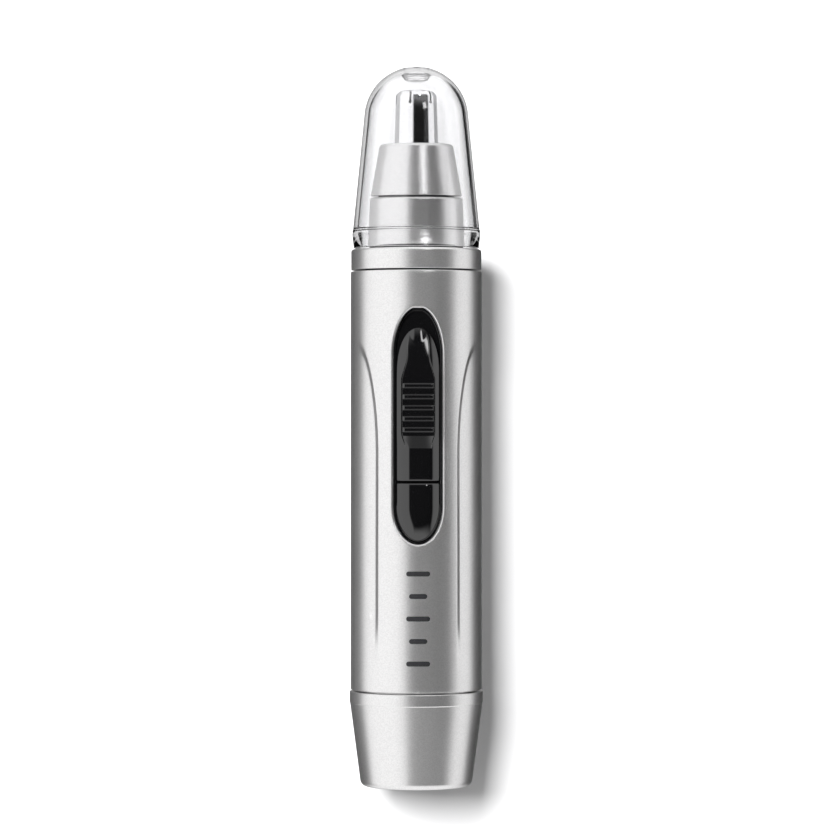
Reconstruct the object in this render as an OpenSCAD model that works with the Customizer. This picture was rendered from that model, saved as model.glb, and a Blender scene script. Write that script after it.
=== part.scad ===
// Pocket nose hair trimmer: clear cap, rotary cutter head, slide switch, one AA cell, twist-off battery cap.
// Millimetres. +Z runs up the body from the flat base at z = 0, and the switch faces -Y.

/* [Body] */
// Outer radius of the casing
body_r = 12.72; // [12.6:0.02:13]
// Wall thickness of the casing
wall = 1.3; // [1.2:0.05:1.35]
// Height of the seam between battery cap and casing
base_seam_z = 18.6; // [18.4:0.1:18.9]
// Height of the seam between casing and lock ring
ring_seam_z = 99.9; // [99.8:0.05:100.1]
// Width of each seam that shows as a dark line
seam = 0.3; // [0.2:0.05:0.4]
// Depth of the grip panels on the two sides
panel_depth = 0.3; // [0.15:0.05:0.4]
// Half width of the plain strip between the grip panels
panel_x = 7.78; // [7.2:0.02:8.4]

/* [Battery cap] */
// Radius of the base just above its rounded edge
base_r = 10.85; // [10.7:0.05:11.1]
// Radius of the band at the top of the battery cap
band_r = 12.93; // [12.9:0.01:13.1]
// Height where the taper ends and the band starts
band_z = 16.2; // [15.9:0.1:16.6]

/* [Head] */
// Outer radius of the lock ring
ring_r = 12.64; // [12.4:0.02:12.7]
// Height of the top of the lock ring
ring_top_z = 104.1; // [104:0.05:104.1]
// Height of the joint between head base and head cone
cone_z = 114; // [113.8:0.1:114.2]
// Height of the top of the head cone
cone_top_z = 124.3; // [124:0.1:124.6]
// Radius of the guard tube where it leaves the cone
guard_r = 4.23; // [4.1:0.01:4.25]
// Height of the top of the guard tube
guard_top_z = 134.8; // [134.6:0.1:135.2]
// Hair slots in the guard tube
slots = 6; // [4:1:8]
// Width of one hair slot
slot_w = 0.43; // [0.3:0.01:0.6]

/* [Clear cap] */
// Height of the lower rim of the cap
rim_z = 104.35; // [104.3:0.01:104.5]
// Largest radius of the cap, just above its rim
cap_r = 12.43; // [12.3:0.01:12.6]
// Height of the top of the cap
cap_top_z = 139.4; // [139.2:0.1:140.4]
// Radius of the dome
dome_r = 10.1; // [10:0.05:10.3]
// Wall thickness of the cap
cap_wall = 1; // [0.8:0.05:1.1]

/* [Switch] */
// Half width of the switch window
window_x = 4.87; // [4.8:0.01:5]
// Height of the lower end of the window
window_z0 = 47.2; // [46.8:0.1:47.6]
// Height of the upper end of the window
window_z1 = 92.4; // [92.2:0.1:92.8]
// Half width of the slider
slider_x = 3.85; // [3.7:0.01:3.9]
// Height of the lower end of the slider when off
slider_z0 = 59.4; // [59.2:0.1:59.6]
// Height of the upper end of the slider when off
slider_z1 = 88.6; // [88.2:0.1:88.7]
// Travel of the slider from off to on
travel = 3; // [2:0.1:3]
// Ribs on the thumb grip
ribs = 5; // [3:1:6]

/* [Cell and motor] */
// Radius of the AA cell
cell_r = 7.25; // [7:0.05:7.3]
// Length of the AA cell over its contact nub
cell_len = 50.4; // [49.8:0.1:50.5]
// Radius of the motor can
motor_r = 7.75; // [7.5:0.05:7.75]
// Half the thickness of the motor across its flats
motor_y = 6; // [5.8:0.1:6]
// Radius of the motor shaft
shaft_r = 1; // [0.9:0.05:1]

/* [Hidden] */
$fn = 96;

gap = 0.1;                            // clearance between parts that slide or turn
body_in = body_r - wall;              // inside radius of the casing
casing_z0 = base_seam_z + seam / 2;
casing_z1 = ring_seam_z - seam / 2;
far = 30;                             // longer than any cut has to be

// battery cap and its spigot
edge_r = 1.2;                         // rounding of the base edge
cap_floor = 1.5;
spigot_r = body_in - 0.22;
spigot_in = 9.9;
spigot_top = 24;
seal_z = 21.2;                        // middle of the O-ring groove
seal_wire = 0.45;                     // radius of the O-ring's section
seal_r = spigot_r - 0.3;

// cell
cell_z = 10;                          // negative end of the cell
cell_top = cell_z + cell_len;
nub_r = 2.75;
nub_h = 1.1;
jacket = 0.15;                        // thickness of the printed jacket

// contacts
plate_t = 0.3;                        // thickness of every contact plate and strip
strip_y = -8.75;                      // inner face of the contact strips
strip_x = 1.2;
strip_top = 71;                       // top of the negative strip, where the bridge rests when off
strip_gap = 1.2;                      // open gap that the bridge closes

// chassis
tube_in = 7.6;
tube_out = 8.65;
chassis_z0 = 20;
bulkhead_z = 61.2;
bulkhead_t = 1.2;
cradle_in = 7.9;
cradle_out = 9;
rail_x = 5;                           // the cradle is open between its two rails
chassis_z1 = 89.5;

// motor, from its terminals up
terminal_x = 4.3;
terminal_t = 0.4;
end_cap_z = 64.6;
can_z0 = 66.4;
can_z1 = 89.4;
can_t = 0.6;
boss_r = 3.05;
boss_top = 90.6;
screw_x = 5;
screw_r = 0.8;
shaft_z0 = 64.9;
shaft_z1 = 97;
core_z0 = 73.5;
core_z1 = 85.5;
core_r = 5.35;
poles = 3;
comm_z0 = 68.6;
comm_r = 1.9;

// neck plate, which holds the motor and carries the head
deck_z0 = 89.6;
deck_z1 = 91.4;
neck_in = 8.1;
neck_out = 9.6;
neck_top = 104.15;
flange_z0 = 96;

// drive line
drive_af = 2.8;                       // across the flats of the drive hexagon
coupler_z0 = 92.3;
coupler_z1 = 98.2;
hex_top = 104.2;
socket_z0 = 98.6;
socket_r = 2.9;
stem_r = 1.9;
clip_z = 107.85;
clip_t = 0.55;
bush_z = 109.2;
bush_in = stem_r + 0.07;
seat_z = 122;                         // flange that the blade spring pushes
stem_top = 128;
peg_r = 0.75;

// head
skirt_z = 104.9;
skirt_r = 9.3;
skirt_top_r = 9;
head_spigot_r = neck_in - 0.2;
head_spigot_z0 = 98.2;
head_bore = 6.6;                      // inside radius of the head base below its bearing wall
head_top_bore = 6.2;
bush_hole = 3.6;
bush_wall_z1 = 111.2;                 // top of the wall that holds the bush
cone_r = 8.72;
cone_top_r = 7.05;
cone_fillet = 0.7;
cone_spigot_r = 7.4;
cone_spigot_top = 117;
guard_flange_z = 120.2;
guard_wall = 0.4;
guard_top_r = 3.92;
guard_edge = 1.2;
slot_len = 2.3;

// switch
pad_z1 = 58.8;                        // top of the fixed pad below the slider
bed_r = 11.7;                         // radius of the bed that the slider runs on
bed_in = 10.4;
stem_x = 1.6;
stem_z0 = 67;
stem_z1 = 72;
slider_r = 12.75;                     // face of the slider around its grip
grip_y = -13.3;
grip_back = -12.2;
grip_x = 3.15;
grip_z0 = 65.6;
grip_arch_z = 77.45;                  // where the grip's rounded upper end starts
grip_arch_h = 8.5;
rib_pitch = 2.1;
rib_z0 = 69.15;
rib_h = 0.9;
rib_out = 0.55;

// An arc of points round a centre, for turned profiles and outlines
function arc(cx, cz, r, a0, a1, n) =
    [for (i = [0:n]) let (a = a0 + (a1 - a0) * i / n) [cx + r * cos(a), cz + r * sin(a)]];

// A tall outline with elliptical ends: half width w, from z0 to z1, ends lo and hi high.
// The upper ellipse rises flat_top higher than z1 and is cut off there.
function oval(w, z0, z1, lo, hi, flat_top = 0) = concat(
    [for (i = [0:12]) let (a = 180 + 15 * i) [w * cos(a), z0 + lo + lo * sin(a)]],
    [for (i = [0:18]) let (a = 10 * i) [w * cos(a), min(z1, z1 - hi + (hi + flat_top) * sin(a))]]);

module turned(points) rotate_extrude() polygon(points);

module tube(r_in, r_out, z0, z1) translate([0, 0, z0]) difference() {
    cylinder(r = r_out, h = z1 - z0);
    translate([0, 0, -1]) cylinder(r = r_in, h = z1 - z0 + 2);
}

module disc(r, z0, z1) translate([0, 0, z0]) cylinder(r = r, h = z1 - z0);

module block(x0, x1, y0, y1, z0, z1) translate([x0, y0, z0]) cube([x1 - x0, y1 - y0, z1 - z0]);

// An outline in X and Z, drawn out along Y from y0 to y1
module slab(points, y0, y1) translate([0, y1, 0]) rotate([90, 0, 0])
    linear_extrude(y1 - y0) polygon(points);

// A hexagon with flats across X, af wide
module hexagon(af, z0, z1) translate([0, 0, z0]) rotate(30)
    cylinder(r = af / sqrt(3), h = z1 - z0, $fn = 6);

// The motor's section: a round can with two flats
module motor_section(shrink) intersection() {
    circle(motor_r - shrink);
    square([far, 2 * (motor_y - shrink)], center = true);
}

// A coil spring whose radius goes from r0 to r1, as one swept tube
spring_sides = 8;
spring_steps = 16;
function coil_ring(r, z, turn, wire) =
    [for (s = [0:spring_sides - 1]) let (b = 360 * s / spring_sides, q = r + wire * cos(b))
        [q * cos(turn), q * sin(turn), z + wire * sin(b)]];
module coil(r0, r1, z0, z1, turns, wire) {
    n = turns * spring_steps;
    rings = [for (i = [0:n]) let (t = i / n)
        coil_ring(r0 + (r1 - r0) * t, z0 + wire + (z1 - z0 - 2 * wire) * t, 360 * turns * t, wire)];
    side = [for (i = [0:n - 1], s = [0:spring_sides - 1])
        let (a = i * spring_sides, b = a + spring_sides, t = (s + 1) % spring_sides)
        [a + s, b + s, b + t, a + t]];
    start = [for (s = [0:spring_sides - 1]) s];
    end = [for (s = [spring_sides - 1:-1:0]) n * spring_sides + s];
    polyhedron([for (ring = rings) each ring], concat(side, [start], [end]), convexity = 10);
}

// Clear cap ------------------------------------------------------------------------------------

module protective_cap() color([0.86, 0.88, 0.9, 0.35]) {
    dome_z = cap_top_z - sqrt(dome_r * dome_r - 4);     // centre of the dome, whose top is cut flat
    in_r = dome_r - cap_wall;
    dimple_r = 2.6;
    dimple_z = cap_top_z - 1.9;
    turned(concat(
        [[9.4, rim_z], [cap_r - 0.47, rim_z], [cap_r, rim_z + 2.65], [cap_r - 0.05, rim_z + 3.2],
         [cap_r - 0.02, rim_z + 3.4], [cap_r - 0.13, rim_z + 3.55]],
        arc(0, dome_z, dome_r, 4, 74, 14),
        [[dimple_r + 0.15, cap_top_z], [dimple_r, cap_top_z - 0.15], [dimple_r, dimple_z + 0.6],
         [dimple_r - 0.6, dimple_z], [0, dimple_z]],
        [[0, dimple_z - cap_wall], [3, dimple_z - cap_wall], [3.7, dome_z + sqrt(in_r * in_r - 13.69)]],
        arc(0, dome_z, in_r, 60, 0, 10),
        [[cap_r - 1.17, rim_z + 3.6], [9.4, rim_z + 3.45]]));
}

// Cutter head ----------------------------------------------------------------------------------

module guard_tube() color([0.88, 0.88, 0.9]) difference() {
    turned(concat(
        [[guard_r - guard_wall, guard_flange_z], [5.6, guard_flange_z], [5.6, guard_flange_z + 1],
         [guard_r, guard_flange_z + 1], [guard_r, cone_top_z]],
        arc(guard_top_r - guard_edge, guard_top_z - guard_edge, guard_edge, 0, 90, 6),
        [[0, guard_top_z], [0, guard_top_z - guard_wall - 0.05]],
        arc(guard_top_r - guard_edge, guard_top_z - guard_edge, guard_edge - guard_wall, 90, 0, 5),
        [[guard_r - guard_wall, cone_top_z]]));
    for (i = [0:slots - 1]) rotate(-108 + 360 * i / slots) {
        block(1.3, 6, -slot_w / 2, slot_w / 2, guard_top_z - slot_len, guard_top_z + 1);
        translate([2, 0, guard_top_z - slot_len]) rotate([0, 90, 0]) cylinder(d = slot_w + 0.3, h = 4);
    }
}

module head_cone() color([0.76, 0.76, 0.77]) turned(concat(
    [[cone_spigot_r + 0.05, cone_z + seam / 2], [cone_r - 0.14, cone_z + seam / 2],
     [cone_r, cone_z + seam / 2 + 0.14]],
    arc(cone_top_r - cone_fillet, cone_top_z - cone_fillet, cone_fillet, 10, 90, 5),
    [[guard_r + 0.07, cone_top_z], [guard_r + 0.07, guard_flange_z + 1.05],
     [5.7, guard_flange_z + 1.05], [5.7, cone_spigot_top + 0.15],
     [cone_spigot_r + 0.05, cone_spigot_top + 0.15]]));

module head_base() color([0.74, 0.74, 0.75]) turned(
    [[head_bore, head_spigot_z0], [head_spigot_r, head_spigot_z0], [head_spigot_r, skirt_z],
     [skirt_r - 0.06, skirt_z], [skirt_r, skirt_z + 0.2], [skirt_top_r, cone_z - seam / 2 - 0.14],
     [skirt_top_r - 0.14, cone_z - seam / 2], [cone_spigot_r, cone_z - seam / 2],
     [cone_spigot_r, cone_spigot_top], [head_top_bore, cone_spigot_top],
     [head_top_bore, bush_wall_z1], [bush_hole, bush_wall_z1], [bush_hole, bush_z],
     [head_bore, bush_z]]);

module head_seal() color([0.07, 0.07, 0.07]) tube(head_spigot_r + 0.05, 9.1, 104.3, skirt_z - 0.05);

module head_bush() color([0.85, 0.84, 0.8]) {
    tube(bush_in, bush_hole - 0.05, bush_z, bush_wall_z1 + 1);
    tube(bush_hole - 0.1, bush_hole + 1, bush_wall_z1 + 0.05, bush_wall_z1 + 1);
}

module lock_ring() color([0.74, 0.74, 0.75]) turned(concat(
    [[neck_out + 0.12, ring_seam_z + seam / 2], [ring_r - 0.14, ring_seam_z + seam / 2],
     [ring_r, ring_seam_z + seam / 2 + 0.14]],
    arc(ring_r - 0.6, ring_top_z - 0.6, 0.6, 0, 90, 5),
    [[neck_out + 0.12, ring_top_z]]));

// Three cutting wings on a hub, kept inside the guard tube
module inner_blade() color([0.8, 0.8, 0.82]) {
    wing_r = guard_top_r - guard_wall - 0.22;
    top = guard_top_z - guard_wall - 0.2;
    difference() {
        union() {
            disc(1.3, stem_top, top - 0.2);
            intersection() {
                turned([[0, 129.5], [wing_r, 129.5], [wing_r, top - 0.75], [wing_r - 0.65, top], [0, top]]);
                union() for (i = [0:2]) rotate(120 * i + 12) block(0, far, -0.2, 0.2, 129, 136);
            }
        }
        disc(peg_r + 0.05, stem_top - 1, stem_top + 3.2);
    }
}

module blade_holder() color([0.9, 0.9, 0.88]) difference() {
    union() {
        disc(socket_r, socket_z0, 105.4);
        disc(stem_r, 105.4, stem_top);
        disc(3.2, seat_z, seat_z + 0.8);
        disc(peg_r, stem_top, stem_top + 3);
    }
    hexagon(drive_af + 2 * gap, socket_z0 - 1, 104.9);
    tube(stem_r - 0.45, stem_r + 1, clip_z - 0.05, clip_z + clip_t + 0.05);
}

module blade_spring() color([0.7, 0.7, 0.72]) coil(2.6, 2.6, 112.3, seat_z - 0.1, 6, 0.25);

// Snap-on clip with an open side, in the groove of the holder's stem
module retaining_clip() color([0.6, 0.6, 0.62]) difference() {
    tube(stem_r - 0.4, 3.3, clip_z, clip_z + clip_t);
    block(0, far, -1.2, 1.2, clip_z - 1, clip_z + clip_t + 1);
}

// Casing ---------------------------------------------------------------------------------------

// Outline of one side's grip panel seen from the front: its edge runs up from the base and curls
// back over the side of the body in a quarter ellipse.
panel_z = 64;                         // where the straight edge starts to curl
panel_rise = 23;
panel_outline = concat(
    [[far, 20], [panel_x, 20]],
    [for (i = [0:16]) let (a = 90 * i / 16)
        [body_r - (body_r - panel_x) * cos(a), panel_z + panel_rise * sin(a)]],
    [[far, panel_z + panel_rise]]);

module grip_panels() difference() {
    union() {
        slab(panel_outline, -far, far);
        mirror([1, 0, 0]) slab(panel_outline, -far, far);
    }
    turned([[0, 18], [body_r + 0.02, 18], [body_r + 0.02, 23], [body_r - 0.7 * panel_depth, 36],
            [body_r - panel_depth, 72], [body_r - panel_depth, 92], [0, 92]]);
}

module body_casing() color([0.74, 0.74, 0.75]) difference() {
    turned([[body_in, casing_z0], [body_r - 0.14, casing_z0], [body_r, casing_z0 + 0.14],
            [body_r, casing_z1 - 0.14], [body_r - 0.14, casing_z1], [body_in, casing_z1]]);
    grip_panels();
    slab(oval(window_x, window_z0, window_z1, 7.2, 8.9, 0.2), -far, 0);
}

// Switch ---------------------------------------------------------------------------------------

module switch_bezel() color([0.03, 0.03, 0.035]) difference() {
    intersection() {
        slab(oval(window_x - 0.08, window_z0 + 0.08, window_z1 - 0.08, 7.2, 8.9, 0.2), -far, 0);
        union() {
            tube(bed_in, 12.5, window_z0 - 1, window_z1 + 1);
            tube(12, 12.9, window_z0 + 1.2, pad_z1);
        }
    }
    intersection() {
        slab(oval(slider_x + 0.15, slider_z0 - 0.4, slider_z1 + travel + 0.15, 0.6, 9), -far, 0);
        tube(bed_r, far, 50, 95);
    }
    block(-stem_x - 0.2, stem_x + 0.2, -far, 0, stem_z0 - 0.25, stem_z1 + travel + 0.25);
}

module switch_slider() color([0.03, 0.03, 0.035]) {
    intersection() {
        slab(oval(slider_x, slider_z0, slider_z1, 0.5, 8), -far, 0);
        tube(bed_r + 0.15, slider_r, slider_z0 - 1, slider_z1 + 1);
    }
    block(-grip_x, grip_x, grip_y, grip_back, grip_z0, grip_arch_z);
    slab([for (i = [0:18]) let (a = 10 * i) [grip_x * cos(a), grip_arch_z + grip_arch_h * sin(a)]],
         grip_y, grip_back);
    for (i = [0:ribs - 1])
        block(-grip_x, grip_x, grip_y - rib_out, grip_y + 0.1,
              rib_z0 + rib_pitch * i - rib_h / 2, rib_z0 + rib_pitch * i + rib_h / 2);
    block(-stem_x, stem_x, -12.4, -9.98, stem_z0, stem_z1);
}

module switch_bridge() color([0.8, 0.62, 0.3]) {
    block(-2.6, 2.6, -9.95, -9.7, stem_z0 - 0.5, stem_z1 + 0.2);
    block(-1, 1, -9.75, strip_y - plate_t - gap, stem_z0, stem_z0 + 0.8);
    block(-1, 1, -9.75, strip_y - plate_t - gap, stem_z1 - 0.7, stem_z1);
}

// Contact behind the switch, with an arm down to one motor terminal
module switch_strip() color([0.8, 0.62, 0.3]) {
    y0 = strip_y - plate_t;
    foot_z = 63;
    block(-3.6, strip_x, y0, strip_y, strip_top + strip_gap, 76.5);
    block(-4.6, -2.4, y0, strip_y, foot_z, 76.5);
    block(-4.6, -2.4, y0, -1.15, foot_z, foot_z + plate_t);
}

module negative_strip() color([0.78, 0.78, 0.78])
    block(-strip_x, strip_x, strip_y - plate_t, strip_y, chassis_z0 + 0.4, strip_top);

// Contact disc above the cell's nub, with a tab up to the other motor terminal
module positive_contact() color([0.78, 0.78, 0.78]) {
    z0 = bulkhead_z - 0.05 - plate_t;
    x0 = terminal_x + terminal_t + 0.05;
    disc(4.2, z0, z0 + plate_t);
    block(3, x0 + plate_t, -strip_x, strip_x, z0, z0 + plate_t);
    block(x0, x0 + plate_t, -strip_x, strip_x, z0, 64.4);
}

// Inside frame ---------------------------------------------------------------------------------

module chassis() color([0.12, 0.12, 0.13]) difference() {
    union() {
        disc(tube_out, chassis_z0, bulkhead_z + bulkhead_t);
        intersection() {
            disc(cradle_out, bulkhead_z - 1, chassis_z1);
            union() for (s = [-1, 1]) translate([s * (rail_x + far / 2), 0, 0])
                translate([-far / 2, -far / 2, 0]) cube([far, far, 100]);
        }
        block(-5.6, 5.6, strip_y + 0.1, -6, bulkhead_z - 0.5, 88);
        for (a = [45:90:315]) rotate(a) block(5, body_in - 0.15, -0.6, 0.6, 25, bulkhead_z - 0.2);
    }
    disc(tube_in, chassis_z0 - 1, bulkhead_z);
    disc(cradle_in, bulkhead_z + bulkhead_t, chassis_z1 + 1);
    block(terminal_x + 0.35, 5.2, -1.4, 1.4, bulkhead_z - 1, bulkhead_z + 2);
    block(-4.8, -2.2, -far, -4, 62.7, 63.6);
}

// Deck that the motor is screwed to, and the neck that the head plugs into
module neck_plate() color([0.12, 0.12, 0.13]) difference() {
    union() {
        disc(neck_out, deck_z0, deck_z1);
        tube(neck_in, neck_out, deck_z0, neck_top);
        tube(neck_out - 0.5, body_in - 0.1, flange_z0, casing_z1 - 0.1);
    }
    disc(boss_r + 0.1, deck_z0 - 1, deck_z1 + 1);
    for (s = [-1, 1]) translate([s * screw_x, 0, 0]) disc(screw_r + 0.15, deck_z0 - 1, deck_z1 + 1);
}

module motor_screws() color([0.65, 0.65, 0.67]) for (s = [-1, 1]) translate([s * screw_x, 0, 0])
    difference() {
        union() {
            disc(1.5, deck_z1 + 0.02, deck_z1 + 0.95);
            disc(screw_r, can_z1 - can_t - 0.6, deck_z1 + 0.5);
        }
        for (a = [0, 90]) rotate(a) block(-0.9, 0.9, -0.2, 0.2, deck_z1 + 0.5, deck_z1 + 2);
    }

// Motor ----------------------------------------------------------------------------------------

module motor_can() color([0.62, 0.62, 0.63]) difference() {
    union() {
        translate([0, 0, can_z0]) linear_extrude(can_z1 - can_z0) motor_section(0);
        disc(boss_r, can_z1 - can_t, boss_top);
    }
    translate([0, 0, can_z0 - 1]) linear_extrude(can_z1 - can_z0 + 1 - can_t) motor_section(can_t);
    disc(2.05, can_z0, boss_top + 1);
    for (s = [-1, 1]) translate([s * screw_x, 0, 0]) disc(screw_r + 0.05, can_z1 - 2, can_z1 + 1);
}

module motor_bearing() color([0.8, 0.62, 0.3]) tube(shaft_r + 0.04, 2, can_z1 - can_t, boss_top + 0.1);

module motor_magnets() color([0.2, 0.2, 0.21]) for (s = [0, 180]) rotate(s)
    translate([0, 0, 72.5]) linear_extrude(14) intersection() {
        difference() {
            circle(motor_r - can_t - 0.05);
            circle(core_r + 0.35);
        }
        translate([3, -4]) square([10, 8]);
    }

module motor_end_cap() color([0.1, 0.1, 0.1]) difference() {
    union() {
        translate([0, 0, end_cap_z]) linear_extrude(can_z0 - end_cap_z) motor_section(0);
        translate([0, 0, can_z0 - 0.1]) linear_extrude(1.5) motor_section(can_t + 0.06);
    }
    disc(shaft_r + 0.04, shaft_z0 - 0.1, 70);
    for (s = [-1, 1]) scale([s, 1, 1])
        block(terminal_x - 0.05, terminal_x + terminal_t + 0.05, -1.15, 1.15, end_cap_z - 1, 70);
}

// Two tabs, each with a leaf brush on the commutator
module motor_terminals() color([0.8, 0.62, 0.3]) for (a = [0, 180]) rotate(a) {
    block(terminal_x, terminal_x + terminal_t, -1.1, 1.1, 62.6, 70.4);
    block(comm_r + 0.06, terminal_x + 0.1, -0.7, 0.7, 70, 70.4);
}

module motor_shaft() color([0.8, 0.8, 0.82]) disc(shaft_r, shaft_z0, shaft_z1);

module rotor_core() color([0.45, 0.45, 0.46]) translate([0, 0, core_z0])
    linear_extrude(core_z1 - core_z0) difference() {
        union() {
            circle(1.9);
            for (i = [0:poles - 1]) rotate(120 * i) translate([0, -0.9]) square([4.6, 1.8]);
            difference() {
                circle(core_r);
                circle(core_r - 1);
                for (i = [0:poles - 1]) rotate(120 * i + 60) translate([0, -0.6]) square([far, 1.2]);
            }
        }
        circle(shaft_r + 0.02);
    }

// One winding round each pole's web
module rotor_windings() color([0.72, 0.4, 0.22]) for (i = [0:poles - 1]) rotate(120 * i)
    difference() {
        block(2.1, core_r - 1.6, -2.1, 2.1, core_z0 - 1, core_z1 + 1);
        block(0, far, -0.95, 0.95, core_z0 - 0.05, core_z1 + 0.05);
    }

module commutator() color([0.72, 0.4, 0.22]) difference() {
    tube(shaft_r + 0.02, comm_r, comm_z0, comm_z0 + 3);
    for (i = [0:poles - 1]) rotate(120 * i + 30)
        block(shaft_r + 0.4, far, -0.12, 0.12, comm_z0 + 0.5, comm_z0 + 4);
}

module drive_coupler() color([0.9, 0.9, 0.88]) difference() {
    union() {
        disc(2.6, coupler_z0, coupler_z1);
        hexagon(drive_af, coupler_z1, hex_top);
    }
    disc(shaft_r + 0.02, coupler_z0 - 1, shaft_z1 + 0.1);
}

// Cell and battery cap -------------------------------------------------------------------------

module aa_cell() color([0.8, 0.8, 0.8]) {
    r = cell_r - jacket - 0.02;
    turned([[0, cell_z], [r - 1.2, cell_z], [r - 1, cell_z + 0.2], [r, cell_z + 0.3],
            [r, cell_top - nub_h - 0.3], [r - 0.5, cell_top - nub_h], [nub_r, cell_top - nub_h],
            [nub_r, cell_top - 0.25], [nub_r - 0.25, cell_top], [0, cell_top]]);
}

module cell_jacket() color([0.1, 0.35, 0.24])
    tube(cell_r - jacket, cell_r, cell_z + 0.35, cell_top - nub_h - 0.35);

module battery_cap() color([0.74, 0.74, 0.75]) difference() {
    turned(concat(
        [[0, 0]],
        arc(base_r - edge_r, edge_r, edge_r, -90, 0, 6),
        [[band_r - 0.1, band_z - 0.08], [band_r, band_z], [band_r, base_seam_z - seam / 2 - 0.14],
         [band_r - 0.14, base_seam_z - seam / 2], [spigot_r, base_seam_z - seam / 2],
         [spigot_r, spigot_top - 0.3], [spigot_r - 0.3, spigot_top], [spigot_in, spigot_top],
         [spigot_in, 15.4], [11.3, 14.2], [9.8, 3], [9.5, cap_floor], [0, cap_floor]]));
    tube(seal_r - seal_wire - 0.05, far, seal_z - 0.6, seal_z + 0.6);
}

module battery_spring() color([0.7, 0.7, 0.72])
    coil(3.9, 2.6, cap_floor + 0.4, cell_z - 0.05, 5, 0.4);

// Disc under the spring, with a tab up to the foot of the negative strip
module cap_contact_plate() color([0.78, 0.78, 0.78]) {
    disc(8.6, cap_floor + 0.05, cap_floor + 0.05 + plate_t);
    block(-strip_x, strip_x, -9.45, -8, cap_floor + 0.05, cap_floor + 0.05 + plate_t);
    block(-strip_x, strip_x, -9.45, -9.45 + plate_t, cap_floor + 0.05, 23);
}

module battery_seal() color([0.07, 0.07, 0.07]) translate([0, 0, seal_z])
    rotate_extrude() translate([seal_r, 0]) circle(seal_wire, $fn = 24);

protective_cap();
guard_tube();
head_cone();
head_base();
head_seal();
head_bush();
inner_blade();
blade_holder();
blade_spring();
retaining_clip();
lock_ring();
body_casing();
switch_bezel();
switch_slider();
switch_bridge();
switch_strip();
negative_strip();
positive_contact();
chassis();
neck_plate();
motor_screws();
motor_can();
motor_bearing();
motor_magnets();
motor_end_cap();
motor_terminals();
motor_shaft();
rotor_core();
rotor_windings();
commutator();
drive_coupler();
aa_cell();
cell_jacket();
battery_cap();
battery_spring();
cap_contact_plate();
battery_seal();
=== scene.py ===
# %% [markdown]
# # A pocket nose hair trimmer
# The trimmer is a slim battery tool: a lacquered body with a slide switch, a chromed cutter tube under
# a clear push-on cap, and a twist-off battery cap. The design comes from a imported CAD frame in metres,
# with +Z up the body and the switch facing -Y. This lesson gives it its finished surfaces, the studio
# and the camera. The frame is loaded first, because every piece here takes its place from it.

# %% Load the frame
import math

import bmesh
import bpy
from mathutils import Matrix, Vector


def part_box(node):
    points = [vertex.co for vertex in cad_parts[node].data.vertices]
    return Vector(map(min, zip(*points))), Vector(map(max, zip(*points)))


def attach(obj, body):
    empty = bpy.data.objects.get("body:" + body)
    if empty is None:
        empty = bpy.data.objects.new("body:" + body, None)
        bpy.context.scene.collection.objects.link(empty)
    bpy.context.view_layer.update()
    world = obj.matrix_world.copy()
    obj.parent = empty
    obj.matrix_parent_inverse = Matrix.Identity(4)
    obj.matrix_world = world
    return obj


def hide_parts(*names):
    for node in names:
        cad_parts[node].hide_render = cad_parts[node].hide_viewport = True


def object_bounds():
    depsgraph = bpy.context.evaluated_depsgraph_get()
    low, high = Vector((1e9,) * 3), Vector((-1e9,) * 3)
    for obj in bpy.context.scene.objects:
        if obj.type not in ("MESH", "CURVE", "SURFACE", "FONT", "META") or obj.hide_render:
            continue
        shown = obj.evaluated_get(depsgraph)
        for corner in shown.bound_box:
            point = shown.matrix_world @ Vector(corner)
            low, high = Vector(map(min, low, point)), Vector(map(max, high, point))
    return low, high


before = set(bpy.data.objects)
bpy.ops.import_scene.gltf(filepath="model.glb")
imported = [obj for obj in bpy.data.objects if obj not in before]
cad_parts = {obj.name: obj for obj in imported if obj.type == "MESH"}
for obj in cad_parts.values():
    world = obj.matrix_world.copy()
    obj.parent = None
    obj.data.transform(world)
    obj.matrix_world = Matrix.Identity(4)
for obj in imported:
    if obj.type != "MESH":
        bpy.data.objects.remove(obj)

MM = 0.001
cad_low, cad_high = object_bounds()
print("CAD box in mm", [round(c / MM, 2) for c in (*cad_low, *cad_high)])


def levels(node):
    """Lowest height, highest height and outer radius of a CAD node, in millimetres."""
    low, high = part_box(node)
    return low.z / MM, high.z / MM, high.x / MM


casing_z0, casing_z1, body_r = levels("body_casing")
ring_z0, ring_z1, ring_r = levels("lock_ring")
rim_z, cap_top_z, cap_r = levels("protective_cap")
skirt_low, _, skirt_r = levels("head_base")
cone_z, cone_top_z, cone_r = levels("head_cone")
_, guard_top_z, _ = levels("guard_tube")
_, _, band_r = levels("battery_cap")
slider_z0, slider_z1, _ = levels("switch_slider")
window_low, window_high, window_x = levels("switch_bezel")
cell_z0, cell_z1, _ = levels("aa_cell")
jacket_z0, jacket_z1, cell_r = levels("cell_jacket")

# %% [markdown]
# ## Camera
# The view is from the front, level with the middle of the body and slightly to one side, from far
# enough away that the body's sides look parallel. A small sideways step frames it left of its own axis.

# %% Set the camera
VIEW_DISTANCE = 0.75
VIEW_WIDTH = 0.1612
VIEW_HEIGHT = 0.07196
VIEW_TURN = math.radians(-1.6)
VIEW_STEP = -0.00025

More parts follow.
